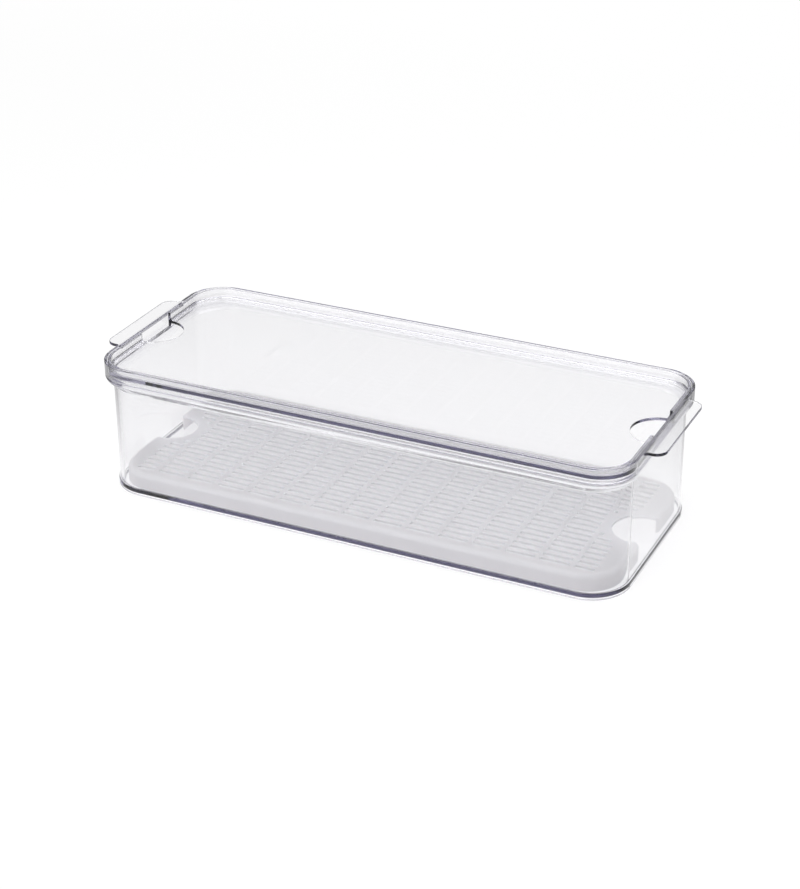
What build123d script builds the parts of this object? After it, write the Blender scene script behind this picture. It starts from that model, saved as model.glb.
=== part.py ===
"""A long clear produce bin with a drop-in lid and a slotted strainer insert.

Millimetres, +Z up, +X along the length. The origin is the middle of the footprint, on the surface
that the bin stands on.
"""
from build123d import *
import os

# Overall sizes of the bin
rim_length = 382.0
rim_width = 158.0
bin_height = 95.0

# Bin walls, floor and foot
wall = 2.0
rim_corner = 26.0
rim_band = 12.5
rim_step = 3.8
rim_slope = 5.0
rim_slope_round = 4.5
wall_corner = 26.5
floor_thickness = 2.5
floor_lift = 1.0
foot_height = 5.0
foot_proud = 1.3
foot_round = 0.9
edge_break = 0.5

# Tab handles at the short ends
tab_width = 82.0
tab_reach = 12.0
tab_thickness = 2.1
tab_drop = 0.9
tab_corner = 8.0
tab_root = 2.5

# Lid
lid_gap = 0.5
lid_depth = 10.6
lid_wall = 2.0
panel_depth = 6.0
panel_thickness = 2.0
panel_cove = 1.0
finger_radius = 19.0

# Strainer insert
strainer_end_gap = 3.0
strainer_side_gap = 1.4
strainer_height = 11.7
strainer_shell = 2.0
strainer_corner = 25.0
strainer_round = 3.5
notch_radius = 17.8
notch_inset = 5.0
notch_mouth = 4.5
notch_border = 6.0

# Slots in the strainer
slot_length = 20.1
slot_width = 3.35
cross_rib = 3.5
long_rib = 3.1
side_border = 8.0
end_border = 14.0
shortest_slot = 3.0

# Heights that follow from the sizes above
floor_top = floor_lift + floor_thickness
ledge_height = bin_height - lid_depth
slope_top = bin_height - rim_band
slope_bottom = slope_top - rim_slope
panel_top = bin_height - panel_depth
panel_bottom = panel_top - panel_thickness
strainer_top = floor_top + strainer_height


def outline(inset, corner):
    """Length, width and corner radius of a rounded rectangle that lies inset inside the rim's outer face."""
    return rim_length - 2 * inset, rim_width - 2 * inset, corner


# Rounded rectangles that the pieces are drawn from, seen from above
rim_outer = outline(0, rim_corner)
rim_inner = outline(wall, rim_corner - wall)
wall_outer = outline(rim_step, wall_corner)
wall_inner = outline(rim_step + wall, wall_corner - wall)
foot_outer = outline(rim_step - foot_proud, wall_corner + foot_proud)
lid_outer = outline(wall + lid_gap, rim_corner - wall - lid_gap)
lid_inner = outline(wall + lid_gap + lid_wall, rim_corner - wall - lid_gap - lid_wall)


def edges_at(part, height):
    """The horizontal edges of a part at one height."""
    return part.edges().filter_by_position(Axis.Z, height, height)


# Bin: foot, wall, sloped step and rim outside, then the cavity, the lid's recess and the hollow under the floor
with BuildPart() as bin_part:
    with BuildSketch():
        RectangleRounded(*foot_outer)
    extrude(amount=foot_height)
    fillet(edges_at(bin_part, foot_height), foot_round)
    chamfer(edges_at(bin_part, 0), edge_break)
    with BuildSketch():
        RectangleRounded(*wall_outer)
    extrude(amount=slope_bottom)
    with BuildSketch(Plane.XY.offset(slope_bottom)):
        RectangleRounded(*wall_outer)
    with BuildSketch(Plane.XY.offset(slope_top)):
        RectangleRounded(*rim_outer)
    loft(ruled=True)
    with BuildSketch(Plane.XY.offset(slope_top)):
        RectangleRounded(*rim_outer)
    extrude(amount=rim_band)
    fillet(edges_at(bin_part, slope_top), rim_slope_round)
    with BuildSketch(Plane.XY.offset(floor_top)):
        RectangleRounded(*wall_inner)
    extrude(amount=bin_height - floor_top, mode=Mode.SUBTRACT)
    chamfer(edges_at(bin_part, floor_top), edge_break)
    with BuildSketch(Plane.XY.offset(ledge_height)):
        RectangleRounded(*rim_inner)
    extrude(amount=lid_depth, mode=Mode.SUBTRACT)
    with BuildSketch():
        RectangleRounded(*wall_inner)
    extrude(amount=floor_lift, mode=Mode.SUBTRACT)
    chamfer(edges_at(bin_part, bin_height), edge_break)
    with BuildSketch(Plane.XY.offset(bin_height - tab_drop - tab_thickness)) as tabs:
        RectangleRounded(*rim_outer)
        Rectangle(rim_length + 2 * tab_reach, tab_width)
        tab_tips = tabs.vertices().group_by(lambda v: round(abs(v.X), 3))[-1]
        fillet(tab_tips, tab_corner)
        tab_roots = tabs.vertices().filter_by(
            lambda v: abs(abs(v.X) - rim_length / 2) < 0.01 and abs(abs(v.Y) - tab_width / 2) < 0.01
        )
        fillet(tab_roots, tab_root)
        RectangleRounded(*rim_inner, mode=Mode.SUBTRACT)
    extrude(amount=tab_thickness)

# Lid: an upright border round a sunk panel, with a round finger opening cut through both at each short end
finger_centre = lid_inner[0] / 2
with BuildPart() as lid_part:
    with BuildSketch(Plane.XY.offset(ledge_height)):
        RectangleRounded(*lid_outer)
    extrude(amount=lid_depth)
    with BuildSketch(Plane.XY.offset(panel_top)):
        RectangleRounded(*lid_inner)
    extrude(amount=panel_depth, mode=Mode.SUBTRACT)
    with BuildSketch(Plane.XY.offset(ledge_height)):
        RectangleRounded(*lid_inner)
    extrude(amount=panel_bottom - ledge_height, mode=Mode.SUBTRACT)
    chamfer(edges_at(lid_part, panel_top), panel_cove)
    chamfer(edges_at(lid_part, bin_height), edge_break)
    with BuildSketch(Plane.XY.offset(ledge_height)):
        with Locations((finger_centre, 0), (-finger_centre, 0)):
            Circle(finger_radius)
    extrude(amount=lid_depth, mode=Mode.SUBTRACT)

# Strainer: the plan of its shell, its finger notches and its grid of slots, counted out from the middle
strainer_length = wall_inner[0] - 2 * strainer_end_gap
strainer_width = wall_inner[1] - 2 * strainer_side_gap
strainer_end = strainer_length / 2
notch_centre = strainer_end - notch_inset
slots_end = strainer_end - end_border
slots_side = strainer_width / 2 - side_border
column_pitch = slot_length + cross_rib
row_pitch = slot_width + long_rib
columns = 2 * int((slots_end - slot_length / 2) / column_pitch) + 1
rows = 2 * int((slots_side + long_rib / 2) / row_pitch)
end_slot_start = (columns * column_pitch + cross_rib) / 2


def end_slot_reach(y):
    """How far from the middle the short slot at the end of a row may reach, clear of the finger notch."""
    clear_radius = notch_radius + notch_border
    across = max(abs(y) - slot_width / 2, 0)
    if across >= clear_radius:
        return slots_end
    return min(slots_end, notch_centre - (clear_radius ** 2 - across ** 2) ** 0.5)


# Strainer: a shallow shell, open below, with the notches and the slots cut through it
with BuildPart() as strainer_part:
    with BuildSketch(Plane.XY.offset(floor_top)):
        RectangleRounded(strainer_length, strainer_width, strainer_corner)
    extrude(amount=strainer_height)
    fillet(edges_at(strainer_part, strainer_top), strainer_round)
    with BuildSketch(Plane.XY.offset(floor_top)):
        RectangleRounded(
            strainer_length - 2 * strainer_shell,
            strainer_width - 2 * strainer_shell,
            strainer_corner - strainer_shell,
        )
    extrude(amount=strainer_height - strainer_shell, mode=Mode.SUBTRACT)
    with BuildSketch(Plane.XY.offset(floor_top)) as notches:
        with Locations((notch_centre, 0)):
            Circle(notch_radius)
            Rectangle(notch_inset, 2 * notch_radius, align=(Align.MIN, Align.CENTER))
        with Locations((strainer_end, 0)):
            Rectangle(strainer_end_gap, strainer_width, align=(Align.MIN, Align.CENTER))
        mouth_corners = notches.vertices().filter_by(
            lambda v: abs(v.X - strainer_end) < 0.01 and abs(abs(v.Y) - notch_radius) < 0.01
        )
        fillet(mouth_corners, notch_mouth)
        mirror(about=Plane.YZ)
    extrude(amount=strainer_height, mode=Mode.SUBTRACT)
    with BuildSketch(Plane.XY.offset(strainer_top - strainer_shell)):
        with GridLocations(column_pitch, row_pitch, columns, rows):
            Rectangle(slot_length, slot_width)
        for row in range(rows):
            y = (row - (rows - 1) / 2) * row_pitch
            length = end_slot_reach(y) - end_slot_start
            if length > shortest_slot:
                x = end_slot_start + length / 2
                with Locations((x, y), (-x, y)):
                    Rectangle(length, slot_width)
    extrude(amount=strainer_shell, mode=Mode.SUBTRACT)

bin_part.part.label = "bin"
lid_part.part.label = "lid"
strainer_part.part.label = "strainer"

os.makedirs("parts", exist_ok=True)
export_step(bin_part.part, "parts/bin.step")
export_step(lid_part.part, "parts/lid.step")
export_step(strainer_part.part, "parts/strainer.step")
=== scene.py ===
# %% [markdown]
# # A clear produce bin with a drop-in lid and a slotted strainer
# The object is a long fridge bin moulded in clear plastic. A clear lid drops into its stepped rim, and
# a white strainer stands on its floor, so that what is stored above it stays dry. Everything here is
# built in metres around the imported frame, so the frame is loaded before anything else.

# %% Load the frame
import math
from collections import namedtuple

import bmesh
import bpy
from mathutils import Matrix, Vector
from mathutils.geometry import delaunay_2d_cdt


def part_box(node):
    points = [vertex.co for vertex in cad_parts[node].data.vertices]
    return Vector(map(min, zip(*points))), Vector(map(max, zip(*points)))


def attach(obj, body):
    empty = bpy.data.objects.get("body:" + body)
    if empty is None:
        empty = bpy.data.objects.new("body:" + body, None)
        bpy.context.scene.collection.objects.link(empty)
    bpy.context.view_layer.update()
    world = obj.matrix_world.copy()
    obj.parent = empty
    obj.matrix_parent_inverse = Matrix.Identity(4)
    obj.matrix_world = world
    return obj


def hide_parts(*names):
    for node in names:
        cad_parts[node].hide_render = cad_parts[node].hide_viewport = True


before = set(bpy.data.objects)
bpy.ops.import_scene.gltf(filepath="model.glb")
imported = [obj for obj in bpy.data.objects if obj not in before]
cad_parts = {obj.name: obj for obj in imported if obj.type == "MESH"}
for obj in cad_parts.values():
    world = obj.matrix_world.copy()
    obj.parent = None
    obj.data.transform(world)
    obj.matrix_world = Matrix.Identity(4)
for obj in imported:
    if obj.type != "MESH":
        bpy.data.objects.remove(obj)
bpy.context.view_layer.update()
MM = 0.001

# %% [markdown]
# ## Reading the sizes from the frame
# The outlines of all three pieces follow from their boxes in the frame and a few wall thicknesses. The
# lid drops into the rim with a small gap all round, so the rim's inside is the lid's box plus that gap,
# and the rim's outside is one wall further out.

# %% Main sizes
WALL = 2.0 * MM
LID_GAP = 0.5 * MM
lid_low, lid_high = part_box("lid")
bin_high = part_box("bin")[1]
strainer_low, strainer_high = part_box("strainer")
rim_half_x = lid_high.x + LID_GAP + WALL
rim_half_y = lid_high.y + LID_GAP + WALL
rim_top = bin_high.z
ledge_z = lid_low.z
floor_top = strainer_low.z
print(f"rim {2 * rim_half_x / MM:.1f} x {2 * rim_half_y / MM:.1f} mm, top at {rim_top / MM:.1f} mm")

# %% [markdown]
# ## The camera
# The photograph is taken with a long lens from in front, to the right and above. The angles and
# the distance below were fitted to the corners of the bin in an 800 by 889 picture. The small offsets
# slide the camera sideways, so the lens needs no shift.

# %% Camera
VIEW_YAW = math.radians(25.614)
VIEW_PITCH = math.radians(27.343)
VIEW_ROLL = math.radians(-0.385)
VIEW_DISTANCE = 1380.12 * MM
VIEW_TARGET = Vector((0, 0, 47 * MM))
SLIDE_RIGHT = 2.99 * MM
SLIDE_UP = -7.29 * MM
LENS = 82.14

backward = Vector((
    math.sin(VIEW_YAW) * math.cos(VIEW_PITCH),
    -math.cos(VIEW_YAW) * math.cos(VIEW_PITCH),
    math.sin(VIEW_PITCH),
))
level_right = Vector((math.cos(VIEW_YAW), math.sin(VIEW_YAW), 0))
roll = Matrix.Rotation(VIEW_ROLL, 3, backward)
right = roll @ level_right
up = roll @ backward.cross(level_right)
camera = bpy.data.objects.new("camera", bpy.data.cameras.new("camera"))
camera.data.lens = LENS
camera.data.clip_end = 20
place = VIEW_TARGET + VIEW_DISTANCE * backward + SLIDE_RIGHT * right + SLIDE_UP * up
camera.matrix_world = Matrix.Translation(place) @ Matrix((right, up, backward)).transposed().to_4x4()
bpy.context.scene.collection.objects.link(camera)
bpy.context.scene.camera = camera
print("camera at", [round(c, 3) for c in place])

# %% [markdown]
# ## Rings, profiles and skins
# Every moulded shell here is a section that runs round a rounded rectangle. A section could be swept
# along a curve, but the corner radius changes from the rim to the wall, so each point of the section is
# turned into a closed ring of its own, and the rings are skinned with quads. A section's corners are
# rounded first, because it is the small soft edges of a moulding that catch the light.

# %% Round the corners of a section
Corner = namedtuple("Corner", "x y centre round", defaults=(0, 0))
CORNER_STEPS = 28
EDGE_STEPS = 5
TINY = 1e-7


def softened(corners, steps=EDGE_STEPS):
    """Points along a run of corners, with an arc at each corner that has a rounding."""
    points = []
    last = len(corners) - 1
    for place, corner in enumerate(corners):
        here = Vector((corner.x, corner.y, corner.centre))
        if not corner.round or place in (0, last):
            points.append(here)
            continue
        before = corners[place - 1]
        after = corners[place + 1]
        back = (Vector((before.x, before.y)) - here.xy).normalized()
        ahead = (Vector((after.x, after.y)) - here.xy).normalized()
        half = back.angle(ahead) / 2
        reach = corner.round / math.tan(half)
        hub = here.xy + (back + ahead).normalized() * corner.round / math.sin(half)
        start = here.xy + back * reach - hub
        end = here.xy + ahead * reach - hub
        start_share = reach / (Vector((before.x, before.y)) - here.xy).length
        end_share = reach / (Vector((after.x, after.y)) - here.xy).length
        start_centre = corner.centre + (before.centre - corner.centre) * start_share
        end_centre = corner.centre + (after.centre - corner.centre) * end_share
        for step in range(steps + 1):
            share = step / steps
            spot = hub + start.slerp(end, share).normalized() * corner.round
            points.append(Vector((*spot, start_centre + (end_centre - start_centre) * share)))
    kept = [points[0]]
    for point in points[1:]:
        if (point - kept[-1]).length > TINY:
            kept.append(point)
    return kept


# %% Skin rings into a closed shell
def rounded_rectangle(half_x, half_y, radius, z, steps=CORNER_STEPS):
    """The points of one ring, counter-clockwise from above."""
    points = []
    for quarter, (side_x, side_y) in enumerate(((1, 1), (-1, 1), (-1, -1), (1, -1))):
        for step in range(steps + 1):
            angle = math.pi / 2 * (quarter + step / steps)
            x = side_x * (half_x - radius) + radius * math.cos(angle)
            y = side_y * (half_y - radius) + radius * math.sin(angle)
            points.append(Vector((x, y, z)))
    return points


def skinned(name, rings, slots=()):
    """An object whose shell joins ring to ring and is closed by a flat face at each end. Slots run
    through both faces, and each slot is a small stack of rings too."""
    mesh = bmesh.new()
    loops = [[mesh.verts.new(point) for point in ring] for ring in rings]
    join_loops(mesh, loops)
    slot_loops = []
    for slot in slots:
        slot_loops.append([[mesh.verts.new(point) for point in ring] for ring in slot])
        join_loops(mesh, slot_loops[-1])
    flat_face(mesh, loops[0], [slot[0] for slot in slot_loops])
    flat_face(mesh, loops[-1], [slot[-1] for slot in slot_loops])
    bmesh.ops.recalc_face_normals(mesh, faces=mesh.faces)
    return finished_mesh(name, mesh)


def join_loops(mesh, loops):
    """Quads from each loop of points to the next."""
    for lower, upper in zip(loops, loops[1:]):
        for place in range(len(lower)):
            after = (place + 1) % len(lower)
            mesh.faces.new((lower[place], lower[after], upper[after], upper[place]))


def flat_face(mesh, edge, holes):
    """A flat face inside a loop, without the triangles whose corners all lie on the edge of one hole."""
    if not holes:
        mesh.faces.new(edge)
        return
    corners, owners, runs = [], [], []
    for owner, loop in enumerate([edge, *holes]):
        first = len(corners)
        corners += loop
        owners += [owner] * len(loop)
        runs += [(first + place, first + (place + 1) % len(loop)) for place in range(len(loop))]
    flat = [corner.co.xy / MM for corner in corners]
    triangles = delaunay_2d_cdt(flat, runs, [], 0, TINY)[2]
    for triangle in triangles:
        touched = {owners[spot] for spot in triangle}
        if touched == {0} or len(touched) > 1:
            mesh.faces.new([corners[spot] for spot in triangle])


def finished_mesh(name, mesh):
    """Turns a bmesh into a linked object."""
    data = bpy.data.meshes.new(name)
    mesh.to_mesh(data)
    mesh.free()
    made = bpy.data.objects.new(name, data)
    bpy.context.scene.collection.objects.link(made)
    return made


def moulding(name, half_x, half_y, section, slots=()):
    """A shell from a section of corners: x is the inset from the outline, y the height, and centre the
    distance of the plan's corner centre from the outline."""
    rings = []
    for inset, z, centre in softened(section):
        rings.append(rounded_rectangle(half_x - inset, half_y - inset, centre - inset, z))
    print(f"{name}: {len(rings)} rings of {len(rings[0])} points")
    return skinned(name, rings, slots)


# %% [markdown]
# A tab, a finger opening or a notch sits at one place, so it can't be part of a section that runs all
# the way round. Its points could be worked into every ring, but a prism that is joined on or cut out
# keeps both shapes simple. The manifold solver is the quick one, and it asks for closed solids, which
# all of these are.

# %% Prisms, cuts and joins
PAST = 2.0 * MM


def prism(name, outline, low, high, soften=0.0):
    """An upright solid over an outline, with its top and bottom edges softened."""
    mesh = bmesh.new()
    base = mesh.faces.new([mesh.verts.new((x, y, low)) for x, y in outline])
    grown = bmesh.ops.extrude_face_region(mesh, geom=[base])
    for item in grown["geom"]:
        if isinstance(item, bmesh.types.BMVert):
            item.co.z = high
    bmesh.ops.recalc_face_normals(mesh, faces=mesh.faces)
    if soften:
        flat = [edge for edge in mesh.edges if edge.verts[0].co.z == edge.verts[1].co.z]
        bmesh.ops.bevel(mesh, geom=flat, offset=soften, segments=3, profile=0.5, affect="EDGES")
    return finished_mesh(name, mesh)


def combine(piece, tool, operation="DIFFERENCE"):
    """Cuts the tool from the piece, or joins it on, and removes the tool."""
    step = piece.modifiers.new("combine", "BOOLEAN")
    step.object = tool
    step.operation = operation
    step.solver = "MANIFOLD"
    bpy.context.view_layer.update()
    graph = bpy.context.evaluated_depsgraph_get()
    result = bpy.data.meshes.new_from_object(piece.evaluated_get(graph))
    piece.modifiers.clear()
    piece.data = result
    bpy.data.objects.remove(tool)
    print(f"{piece.name}: {len(result.polygons)} faces after {operation.lower()}")


# %% [markdown]
# ## Soft edges and clean shading
# A clear moulding shows every mistake in its shading, because each ray is bent by the surface's
# direction. Flat walls must stay flat up to their edges. Smooth shading alone would bend the walls, so
# each corner's direction is weighted by the area of the faces around it, and only the small roundings
# turn.

# %% Shading
SHARP = math.radians(38)
FACE_WEIGHT = 90


def shade(piece, bevel=0.0):
    """Smooth shading with flat faces kept flat, after an optional small bevel on the edges left sharp."""
    if bevel:
        soft = piece.modifiers.new("soft edges", "BEVEL")
        soft.width = bevel
        soft.segments = 2
        soft.limit_method = "ANGLE"
        soft.angle_limit = SHARP
        soft.use_clamp_overlap = True
    graph = bpy.context.evaluated_depsgraph_get()
    result = bpy.data.meshes.new_from_object(piece.evaluated_get(graph))
    piece.modifiers.clear()
    piece.data = result
    piece.data.shade_smooth()
    piece.data.set_sharp_from_angle(angle=SHARP)
    weigh = piece.modifiers.new("flat faces", "WEIGHTED_NORMAL")
    weigh.keep_sharp = True
    weigh.weight = FACE_WEIGHT
    print(f"{piece.name}: {len(piece.data.polygons)} faces")


# %% [markdown]
# ## The bin
# The bin is one moulding. From the ground up its section has a foot that stands proud of the wall, a
# tall upright wall, and a step that slopes out to a band round the rim. Inside, the wall runs up to a
# ledge that the lid sits on. The section starts under the floor, runs out and up the outside, and comes
# back down inside.

# %% Bin section
RIM_CENTRE = 26.0 * MM
WALL_CENTRE = 30.3 * MM
RIM_STEP = 3.8 * MM
RIM_BAND = 12.5 * MM
SLOPE_HEIGHT = 5.0 * MM
SLOPE_ROUND = 4.5 * MM
SLOPE_ROOT = 1.5 * MM
FOOT_PROUD = 1.3 * MM
FOOT_HEIGHT = 5.0 * MM
FOOT_ROUND = 0.9 * MM
FLOOR_LIFT = 1.0 * MM
FLOOR_COVE = 1.2 * MM
EDGE = 0.5 * MM
SMALL_EDGE = 0.3 * MM
AIR = 0.05 * MM

inner_inset = RIM_STEP + WALL
slope_top = rim_top - RIM_BAND
bin_section = [
    Corner(inner_inset + SMALL_EDGE, FLOOR_LIFT, WALL_CENTRE),
    Corner(inner_inset, FLOOR_LIFT, WALL_CENTRE, SMALL_EDGE / 2),
    Corner(inner_inset, 0, WALL_CENTRE, SMALL_EDGE),
    Corner(RIM_STEP - FOOT_PROUD, 0, WALL_CENTRE, EDGE),
    Corner(RIM_STEP - FOOT_PROUD, FOOT_HEIGHT, WALL_CENTRE, FOOT_ROUND),
    Corner(RIM_STEP, FOOT_HEIGHT, WALL_CENTRE, SMALL_EDGE),
    Corner(RIM_STEP, slope_top - SLOPE_HEIGHT, WALL_CENTRE, SLOPE_ROOT),
    Corner(0, slope_top, RIM_CENTRE, SLOPE_ROUND),
    Corner(0, rim_top, RIM_CENTRE, EDGE),
    Corner(WALL, rim_top, RIM_CENTRE, EDGE),
    Corner(WALL, ledge_z - AIR, RIM_CENTRE, SMALL_EDGE),
    Corner(inner_inset, ledge_z - AIR, WALL_CENTRE, SMALL_EDGE),
    Corner(inner_inset, floor_top - AIR, WALL_CENTRE, FLOOR_COVE),
    Corner(inner_inset + 2 * FLOOR_COVE, floor_top - AIR, WALL_CENTRE),
]
bin_shell = moulding("bin_shell", rim_half_x, rim_half_y, bin_section)

# %% [markdown]
# At each short end a thin flat tab stands out from the rim as a handle. It is part of the same
# moulding, so it is joined to the shell: two clear solids that merely overlapped would show a false
# surface inside.

# %% Tab handles
TAB_HALF_WIDTH = 41.0 * MM
TAB_DROP = 0.9 * MM
TAB_THICKNESS = 2.1 * MM
TAB_CORNER = 8.0 * MM
TAB_ROOT = 2.5 * MM
TAB_EDGE = 0.45 * MM
TAB_STEPS = 10


def tab_outline(side):
    """The tab at one end, from inside the rim out to its rounded corners."""
    inside = rim_half_x - WALL / 2
    half = [
        Corner(inside, TAB_HALF_WIDTH + TAB_ROOT),
        Corner(rim_half_x, TAB_HALF_WIDTH + TAB_ROOT),
        Corner(rim_half_x, TAB_HALF_WIDTH, 0, TAB_ROOT),
        Corner(bin_high.x, TAB_HALF_WIDTH, 0, TAB_CORNER),
    ]
    mirrored = [corner._replace(y=-corner.y) for corner in reversed(half)]
    return [(side * point.x, point.y) for point in softened(half + mirrored, TAB_STEPS)]


for side in (1, -1):
    top = rim_top - TAB_DROP
    tab = prism("tab", tab_outline(side), top - TAB_THICKNESS, top, TAB_EDGE)
    combine(bin_shell, tab, "UNION")
shade(bin_shell)

# %% [markdown]
# ## The lid
# The lid is a shallow tray: an upright border that stands on the bin's ledge, round a panel sunk below
# the rim. A round finger opening at each short end bites through both, so a fingertip can lift the lid.
# The border is skinned from rings like the bin, and the openings are cut afterwards.

# %% Lid
LID_WALL = 2.0 * MM
PANEL_DEPTH = 6.0 * MM
PANEL_THICKNESS = 2.0 * MM
PANEL_COVE = 2.2 * MM
UNDER_COVE = 0.8 * MM
LID_EDGE = 0.2 * MM
FINGER_RADIUS = 19.0 * MM
CIRCLE_STEPS = 96
LID_CENTRE = RIM_CENTRE - WALL - LID_GAP
panel_top = lid_high.z - PANEL_DEPTH
panel_bottom = panel_top - PANEL_THICKNESS
lid_section = [
    Corner(LID_WALL + 2 * UNDER_COVE, panel_bottom, LID_CENTRE),
    Corner(LID_WALL, panel_bottom, LID_CENTRE, UNDER_COVE),
    Corner(LID_WALL, ledge_z + AIR, LID_CENTRE, SMALL_EDGE),
    Corner(0, ledge_z + AIR, LID_CENTRE, SMALL_EDGE),
    Corner(0, lid_high.z, LID_CENTRE, EDGE),
    Corner(LID_WALL, lid_high.z, LID_CENTRE, EDGE),
    Corner(LID_WALL, panel_top, LID_CENTRE, PANEL_COVE),
    Corner(LID_WALL + 2 * PANEL_COVE, panel_top, LID_CENTRE),
]
lid_shell = moulding("lid_shell", lid_high.x, lid_high.y, lid_section)


def circle(x, y, radius):
    """Points round a full circle."""
    angles = [2 * math.pi * step / CIRCLE_STEPS for step in range(CIRCLE_STEPS)]
    return [(x + radius * math.cos(angle), y + radius * math.sin(angle)) for angle in angles]


finger_x = lid_high.x - LID_WALL
for side in (1, -1):
    hole = prism("hole", circle(side * finger_x, 0, FINGER_RADIUS), ledge_z - PAST, rim_top + PAST)
    combine(lid_shell, hole)
shade(lid_shell, LID_EDGE)

# %% [markdown]
# ## The strainer
# The strainer is a shallow white tray turned upside down, so its top stands clear of any water on the
# floor. Its shell is skinned from rings with the large soft edge of the real one. The slots could be
# cut from it one by one, but that is slow for some three hundred, so each slot is built as a small
# stack of rings through the plate, and the plate's two flat faces are filled in round them.

# %% Slot pattern
NOTCH_RADIUS = 17.8 * MM
NOTCH_INSET = 5.0 * MM
NOTCH_MOUTH = 4.5 * MM
NOTCH_BORDER = 6.0 * MM
SLOT_LENGTH = 20.1 * MM
SLOT_WIDTH = 3.35 * MM
CROSS_RIB = 3.5 * MM
LONG_RIB = 3.1 * MM
SIDE_BORDER = 8.0 * MM
END_BORDER = 14.0 * MM
SHORTEST_SLOT = 3.0 * MM
slots_end = strainer_high.x - END_BORDER
slots_side = strainer_high.y - SIDE_BORDER
column_pitch = SLOT_LENGTH + CROSS_RIB
row_pitch = SLOT_WIDTH + LONG_RIB
columns = 2 * int((slots_end - SLOT_LENGTH / 2) / column_pitch) + 1
rows = 2 * int((slots_side + LONG_RIB / 2) / row_pitch)
end_slot_start = (columns * column_pitch + CROSS_RIB) / 2


def end_slot_reach(y):
    """How far out the short slot at the end of a row may run, clear of the finger notch."""
    clear_radius = NOTCH_RADIUS + NOTCH_BORDER
    across = max(abs(y) - SLOT_WIDTH / 2, 0)
    if across >= clear_radius:
        return slots_end
    return min(slots_end, strainer_high.x - NOTCH_INSET - math.sqrt(clear_radius ** 2 - across ** 2))


slot_places = []
for row in range(rows):
    y = (row - (rows - 1) / 2) * row_pitch
    for column in range(columns):
        slot_places.append(((column - (columns - 1) / 2) * column_pitch, y, SLOT_LENGTH))
    length = end_slot_reach(y) - end_slot_start
    if length > SHORTEST_SLOT:
        slot_places += [(side * (end_slot_start + length / 2), y, length) for side in (1, -1)]
print(f"{columns} columns and {rows} rows, {len(slot_places)} slots")

# %% Strainer shell
SHELL = 2.0 * MM
SOFT_EDGE = 3.5 * MM
STRAINER_CORNER = 25.0 * MM
SLOT_CORNER = 0.5 * MM
SLOT_LIP = 0.25 * MM
SLOT_STEPS = 3


def slot_rings(x, y, length):
    """One slot as rings from the plate's underside to its top, opened out a little at both lips."""
    under = strainer_high.z - SHELL
    over = strainer_high.z
    rings = []
    for grow, z in ((SLOT_LIP, under), (0, under + SLOT_LIP), (0, over - SLOT_LIP), (SLOT_LIP, over)):
        half_x = length / 2 + grow
        half_y = SLOT_WIDTH / 2 + grow
        ring = rounded_rectangle(half_x, half_y, SLOT_CORNER + grow, z, SLOT_STEPS)
        rings.append([point + Vector((x, y, 0)) for point in ring])
    return rings


strainer_section = [
    Corner(SOFT_EDGE + SMALL_EDGE, strainer_high.z - SHELL, STRAINER_CORNER),
    Corner(SHELL, strainer_high.z - SHELL, STRAINER_CORNER, SOFT_EDGE - SHELL),
    Corner(SHELL, strainer_low.z, STRAINER_CORNER, SMALL_EDGE),
    Corner(0, strainer_low.z, STRAINER_CORNER, SMALL_EDGE),
    Corner(0, strainer_high.z, STRAINER_CORNER, SOFT_EDGE),
    Corner(SOFT_EDGE + SMALL_EDGE, strainer_high.z, STRAINER_CORNER),
]
strainer_shell = moulding(
    "strainer_shell",
    strainer_high.x,
    strainer_high.y,
    strainer_section,
    [slot_rings(*slot) for slot in slot_places],
)


# %% [markdown]
# A finger notch at each short end lets the strainer be picked out. Seen from above it is a round end
# with straight flanks, and its mouth flares in a curve where it meets the strainer's edge. One half of
# the outline is drawn and rounded, the other is its mirror image, and the prism over both is cut away.

# %% Finger notches
NOTCH_STEPS = 64
FLARE_STEPS = 8


def notch_outline(side):
    """A finger notch: a round end, straight flanks and a mouth that flares at the strainer's edge."""
    hub = strainer_high.x - NOTCH_INSET
    outside = strainer_high.x + PAST
    mouth = NOTCH_RADIUS + NOTCH_MOUTH
    half = [
        Corner(outside, mouth),
        Corner(strainer_high.x, mouth),
        Corner(strainer_high.x, NOTCH_RADIUS, 0, NOTCH_MOUTH),
        Corner(hub, NOTCH_RADIUS),
    ]
    flank = [(point.x, point.y) for point in softened(half, FLARE_STEPS)]
    turns = [math.pi / 2 * (1 + 2 * step / NOTCH_STEPS) for step in range(1, NOTCH_STEPS)]
    bend = [(hub + NOTCH_RADIUS * math.cos(turn), NOTCH_RADIUS * math.sin(turn)) for turn in turns]
    mirrored = [(x, -y) for x, y in reversed(flank)]
    return [(side * x, y) for x, y in flank + bend + mirrored]


for side in (1, -1):
    notch = prism("notch", notch_outline(side), strainer_low.z - PAST, strainer_high.z + PAST)
    combine(strainer_shell, notch)
shade(strainer_shell)

# %% [markdown]
# ## Writing shaders as arithmetic
# A material is a small program. It could be wired up link by link, but it reads best as arithmetic, so
# a socket is wrapped in a class whose operators add the Math nodes. One method adds any other node: its
# type, then its settings, and then what its sockets take.

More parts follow.
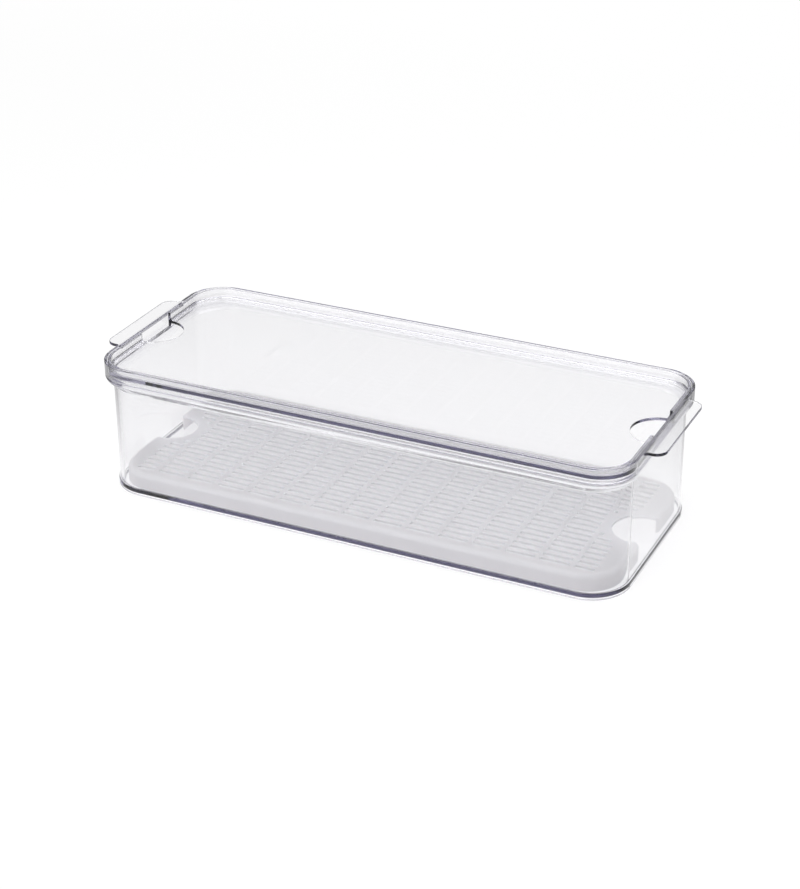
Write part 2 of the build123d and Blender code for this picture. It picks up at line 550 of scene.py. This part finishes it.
# %% Shader helper
class Socket:
    """An output socket that takes part in arithmetic: each operator adds its Math node."""

    def __init__(self, shader, output):
        self.shader = shader
        self.output = output

    def maths(self, operation, *values):
        """A Math node of any operation, on sockets or numbers."""
        return self.shader.node("ShaderNodeMath", {"operation": operation}, dict(enumerate(values)))

    def __add__(self, other):
        return self.maths("ADD", self, other)

    def __radd__(self, other):
        return self.maths("ADD", other, self)

    def __sub__(self, other):
        return self.maths("SUBTRACT", self, other)

    def __rsub__(self, other):
        return self.maths("SUBTRACT", other, self)

    def __mul__(self, other):
        return self.maths("MULTIPLY", self, other)

    def __rmul__(self, other):
        return self.maths("MULTIPLY", other, self)

    def __gt__(self, other):
        return self.maths("GREATER_THAN", self, other)

    def __lt__(self, other):
        return self.maths("LESS_THAN", self, other)

    def also(self, name):
        """Another output of the same node."""
        return Socket(self.shader, self.output.node.outputs[name])


class Shader:
    """A node tree that is filled from an empty start."""

    def __init__(self, owner):
        owner.use_nodes = True
        self.tree = owner.node_tree
        self.tree.nodes.clear()

    def node(self, kind, settings=None, sockets=None, output=0):
        """Adds a node, makes its settings, fills its sockets by name or place, returns one output."""
        made = self.tree.nodes.new(kind)
        settings = dict(settings or {})
        stops = settings.pop("stops", None)
        for name, value in settings.items():
            setattr(made, name, value)
        if stops:
            ramp = made.color_ramp.elements
            while len(ramp) < len(stops):
                ramp.new(1)
            for stop, (place, level) in zip(ramp, stops):
                stop.position = place
                stop.color = (level, level, level, 1)
        for name, value in (sockets or {}).items():
            socket = made.inputs[name]
            if isinstance(value, Socket):
                self.tree.links.new(value.output, socket)
            else:
                socket.default_value = value
        return Socket(self, made.outputs[output]) if made.outputs else made


# %% [markdown]
# ## Clear plastic
# The bin and the lid are clear styrene: colourless in a thin wall, and a smoky violet where the light
# runs the long way through an edge. That is absorption inside the solid, so it is set as a volume and
# not as a surface tint. Lamps and soft light must reach what stands inside, which refracting glass
# hardly lets through, so rays that carry shadows or soft light meet a plain transparent film. The
# finish is a gloss with a trace of haze that comes and goes.

# %% Clear plastic material
WHITE = (1, 1, 1, 1)
FILM = (0.97, 0.97, 0.975, 1)
SMOKE = (0.2, 0.17, 0.4, 1)
SMOKE_DENSITY = 17.0
CLEAR_IOR = 1.57
CLEAR_ROUGHNESS = 0.012
HAZE_ROUGHNESS = 0.012
HAZE_SCALE = 26.0


def clear_plastic(name):
    """Clear moulded plastic whose finish varies a little."""
    material = bpy.data.materials.new(name)
    shader = Shader(material)
    place = shader.node("ShaderNodeTexCoord", output="Object")
    haze = shader.node("ShaderNodeTexNoise", None, {"Vector": place, "Scale": HAZE_SCALE, "Detail": 1.0})
    clear = shader.node("ShaderNodeBsdfPrincipled", None, {
        "Base Color": WHITE,
        "Roughness": CLEAR_ROUGHNESS + HAZE_ROUGHNESS * haze,
        "IOR": CLEAR_IOR,
        "Transmission Weight": 1.0,
    })
    film = shader.node("ShaderNodeBsdfTransparent", None, {"Color": FILM})
    rays = shader.node("ShaderNodeLightPath", output="Is Shadow Ray")
    lit = shader.node("ShaderNodeMixShader", None, {0: rays, 1: clear, 2: film})
    surface = shader.node("ShaderNodeMixShader", None, {0: rays.also("Is Diffuse Ray"), 1: lit, 2: film})
    smoke = shader.node("ShaderNodeVolumeAbsorption", None, {"Color": SMOKE, "Density": SMOKE_DENSITY})
    shader.node("ShaderNodeOutputMaterial", None, {"Surface": surface, "Volume": smoke})
    print(f"{name}: {len(shader.tree.nodes)} nodes")
    return material


# %% [markdown]
# ## White strainer plastic
# The strainer is a satin white with a trace of warmth. Its colour drifts a little over the tray, as
# moulded plastic does, and a fine grain in the surface breaks up its shine. Light passes a short way
# through the thin plate, so subsurface scattering is on. Below the plate's top, over the slotted area,
# the slot walls and the plate's underside are painted a lighter white: painted light, in place of the
# light from below that brightens the slot walls. It is kept in the one material, not given its own.

# %% White plastic material
WHITE_LOW = (0.92, 0.84, 0.835, 1)
WHITE_HIGH = (0.95, 0.87, 0.86, 1)
# Painted light: a lighter white for the slot walls, in place of the light from below that falls there.
SLOT_PAINTED_LIGHT = (1.0, 0.975, 0.96, 1)
SATIN_ROUGHNESS = 0.34
DRIFT_ROUGHNESS = 0.12
DRIFT_SCALE = 14.0
GRAIN_ROUGHNESS = 0.06
GRAIN_SCALE = 1400.0
GRAIN_STRENGTH = 0.12
GRAIN_HEIGHT = 0.2 * MM
WHITE_IOR = 1.49
GLOW_DEPTH = 30.0 * MM
GLOW_TINT = (1.0, 0.95, 0.95)
# The box below the plate's top, over the slotted area, that gets the painted light.
slots_half_x = slots_end + SLOT_LIP
slots_half_y = slots_side + SLOT_LIP
slots_below = strainer_high.z - SLOT_LIP / 2


def blend(shader, factor, first, second):
    """A colour between two others."""
    colours = {0: factor, 6: first, 7: second}
    return shader.node("ShaderNodeMix", {"data_type": "RGBA"}, colours, output=2)


def white_plastic(name):
    """Satin white plastic with a fine moulded grain, and painted light on the slot walls."""
    material = bpy.data.materials.new(name)
    shader = Shader(material)
    place = shader.node("ShaderNodeTexCoord", output="Object")
    drift = shader.node("ShaderNodeTexNoise", None, {"Vector": place, "Scale": DRIFT_SCALE, "Detail": 3.0})
    grain = shader.node("ShaderNodeTexNoise", None, {"Vector": place, "Scale": GRAIN_SCALE, "Detail": 2.0})
    spot = shader.node("ShaderNodeSeparateXYZ", None, {"Vector": place}, output="X")
    along = spot.maths("ABSOLUTE", spot) < slots_half_x
    across = spot.maths("ABSOLUTE", spot.also("Y")) < slots_half_y
    below = spot.also("Z") < slots_below
    outside = blend(shader, drift, WHITE_LOW, WHITE_HIGH)
    bump = shader.node("ShaderNodeBump", None, {
        "Height": grain,
        "Strength": GRAIN_STRENGTH,
        "Distance": GRAIN_HEIGHT,
    })
    satin = shader.node("ShaderNodeBsdfPrincipled", None, {
        # Painted light: the slot walls and underside in the slotted area get the lighter white.
        "Base Color": blend(shader, along * across * below, outside, SLOT_PAINTED_LIGHT),
        "Roughness": SATIN_ROUGHNESS + DRIFT_ROUGHNESS * drift + GRAIN_ROUGHNESS * grain,
        "IOR": WHITE_IOR,
        "Subsurface Weight": 1.0,
        "Subsurface Radius": GLOW_TINT,
        "Subsurface Scale": GLOW_DEPTH,
        "Normal": bump,
    })
    shader.node("ShaderNodeOutputMaterial", None, {"Surface": satin})
    print(f"{name}: {len(shader.tree.nodes)} nodes")
    return material


# %% Dress the pieces
def dress(piece, material, body, node):
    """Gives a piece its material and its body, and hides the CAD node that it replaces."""
    piece.data.materials.clear()
    piece.data.materials.append(material)
    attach(piece, body)
    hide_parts(node)
    print(f"{piece.name} rides {body} in {material.name}")


dress(bin_shell, clear_plastic("clear_bin_plastic"), "bin", "bin")
dress(lid_shell, clear_plastic("clear_lid_plastic"), "lid", "lid")
dress(strainer_shell, white_plastic("white_strainer_plastic"), "strainer", "strainer")

# %% [markdown]
# ## The studio
# Clear plastic is drawn by what it bends into view. Straight through it the white sweep shows, and
# where a ray has been turned by a mirror reflection it finds the darker studio, which is what draws the
# edges. The floor could be a plain white plane, but then it would be grey in the picture or the lamps
# too bright for the object. So it has a matt white that keeps the object's soft shadow, and for rays
# that look at it a share of plain white light is mixed in.

# %% Floor plane
FLOOR_DROP = 0.2 * MM
FLOOR_SIZE = 12.0
floor_mesh = bmesh.new()
bmesh.ops.create_grid(floor_mesh, x_segments=1, y_segments=1, size=FLOOR_SIZE / 2)
floor = finished_mesh("studio_floor", floor_mesh)
floor.location.z = -FLOOR_DROP
print(f"floor {FLOOR_SIZE:.0f} m wide")

# %% [markdown]
# The matt floor keeps its shadow share near the object, and a smaller share where it is seen through
# the plastic. Both shares die out a metre away, so the floor has no visible end. Rays that a mirror
# reflection has turned see the floor grow dark instead, the further out they land.

# %% Floor finish
FLOOR_WHITE = (0.95, 0.95, 0.95, 1)
SHADOW_SHARE = 0.3
INSIDE_SHARE = 0.12
DARK_PER_METRE = 4.0
STUDIO_DARK = 0.12
floor_material = bpy.data.materials.new("studio_floor")
shader = Shader(floor_material)
rays = shader.node("ShaderNodeLightPath", output="Is Camera Ray")
through = rays.maths("MAXIMUM", rays.also("Is Transmission Ray"), rays.also("Is Glossy Ray"))
place = shader.node("ShaderNodeTexCoord", output="Object")
spot = shader.node("ShaderNodeSeparateXYZ", None, {"Vector": place}, output="X")
beside = spot.maths("ABSOLUTE", spot) - rim_half_x
behind = spot.maths("ABSOLUTE", spot.also("Y")) - rim_half_y
away = spot.maths("MAXIMUM", spot.maths("MAXIMUM", beside, behind), 0.0)
fade = (rays.also("Glossy Depth") > 0.5) * spot.maths("MINIMUM", DARK_PER_METRE * away, 1.0)
shaded = spot.maths("MAXIMUM", 1 - away, 0.0)
topped_up = (1 - SHADOW_SHARE * shaded) * rays + (1 - INSIDE_SHARE * shaded) * through
matt = shader.node("ShaderNodeBsdfDiffuse", None, {"Color": FLOOR_WHITE})
sweep = shader.node("ShaderNodeEmission", None, {"Color": WHITE, "Strength": 1.0})
dark = shader.node("ShaderNodeEmission", None, {"Color": WHITE, "Strength": STUDIO_DARK})
lit = shader.node("ShaderNodeMixShader", None, {0: topped_up, 1: matt, 2: sweep})
surface = shader.node("ShaderNodeMixShader", None, {0: fade, 1: lit, 2: dark})
shader.node("ShaderNodeOutputMaterial", None, {"Surface": surface})
floor.data.materials.append(floor_material)
print(f"{floor_material.name}: {len(shader.tree.nodes)} nodes")

# %% [markdown]
# The world is plain white where the camera looks at it, also through the plastic. A mirror reflection
# finds a softbox overhead instead, dim near the ground and bright above, and what lights the object is
# a plain even sky.

# %% World
SKY_LIGHT = 0.6
SOFTBOX = [(0.0, 0.18), (0.25, 0.42), (0.45, 0.9), (0.8, 1.0)]
world = bpy.data.worlds.new("studio")
bpy.context.scene.world = world
shader = Shader(world)
rays = shader.node("ShaderNodeLightPath", output="Is Camera Ray")
turned = rays.also("Glossy Depth") > 0.5
straight = rays.maths("MAXIMUM", rays, rays.also("Is Transmission Ray")) * (1 - turned)
direction = shader.node("ShaderNodeTexCoord", output="Generated")
height = shader.node("ShaderNodeSeparateXYZ", None, {"Vector": direction}, output="Z")
softbox = shader.node("ShaderNodeValToRGB", {"stops": SOFTBOX}, {"Fac": height})
level = straight + (1 - straight) * (turned * softbox + (1 - turned) * SKY_LIGHT)
backdrop = shader.node("ShaderNodeBackground", None, {"Color": WHITE, "Strength": level})
shader.node("ShaderNodeOutputWorld", None, {"Surface": backdrop})
print(f"{world.name}: {len(shader.tree.nodes)} nodes")


# %% [markdown]
# Two large area lamps shape the pieces. A small lamp or a sun would throw hard shadows, and would show
# in clear plastic as specks. The key lamp stands to the left in front, and the top lamp a little behind
# the object.

# %% Lamps
def soft_lamp(name, place, size, power):
    """A square area lamp aimed at the object."""
    lamp = bpy.data.lights.new(name, "AREA")
    lamp.size = size
    lamp.energy = power
    made = bpy.data.objects.new(name, lamp)
    made.location = place
    made.rotation_euler = (VIEW_TARGET - Vector(place)).to_track_quat("-Z", "Y").to_euler()
    bpy.context.scene.collection.objects.link(made)
    print(f"{name}: {size} m wide, {power} W")


soft_lamp("key_lamp", (-0.5, -1.25, 1.0), 1.8, 17)
soft_lamp("top_lamp", (0.3, 0.5, 1.5), 1.6, 12)

# %% [markdown]
# ## Colours and ray depth
# The standard view shows the colours as they are written. A ray may cross many clear surfaces before it
# leaves the object, and one that is cut short turns black, so the limits are well above the usual ones.

# %% Colours and ray depth
scene = bpy.context.scene
scene.view_settings.view_transform = "Standard"
scene.cycles.max_bounces = 96
scene.cycles.transmission_bounces = 40
scene.cycles.glossy_bounces = 64
scene.cycles.transparent_max_bounces = 32
print("bounces:", scene.cycles.max_bounces)
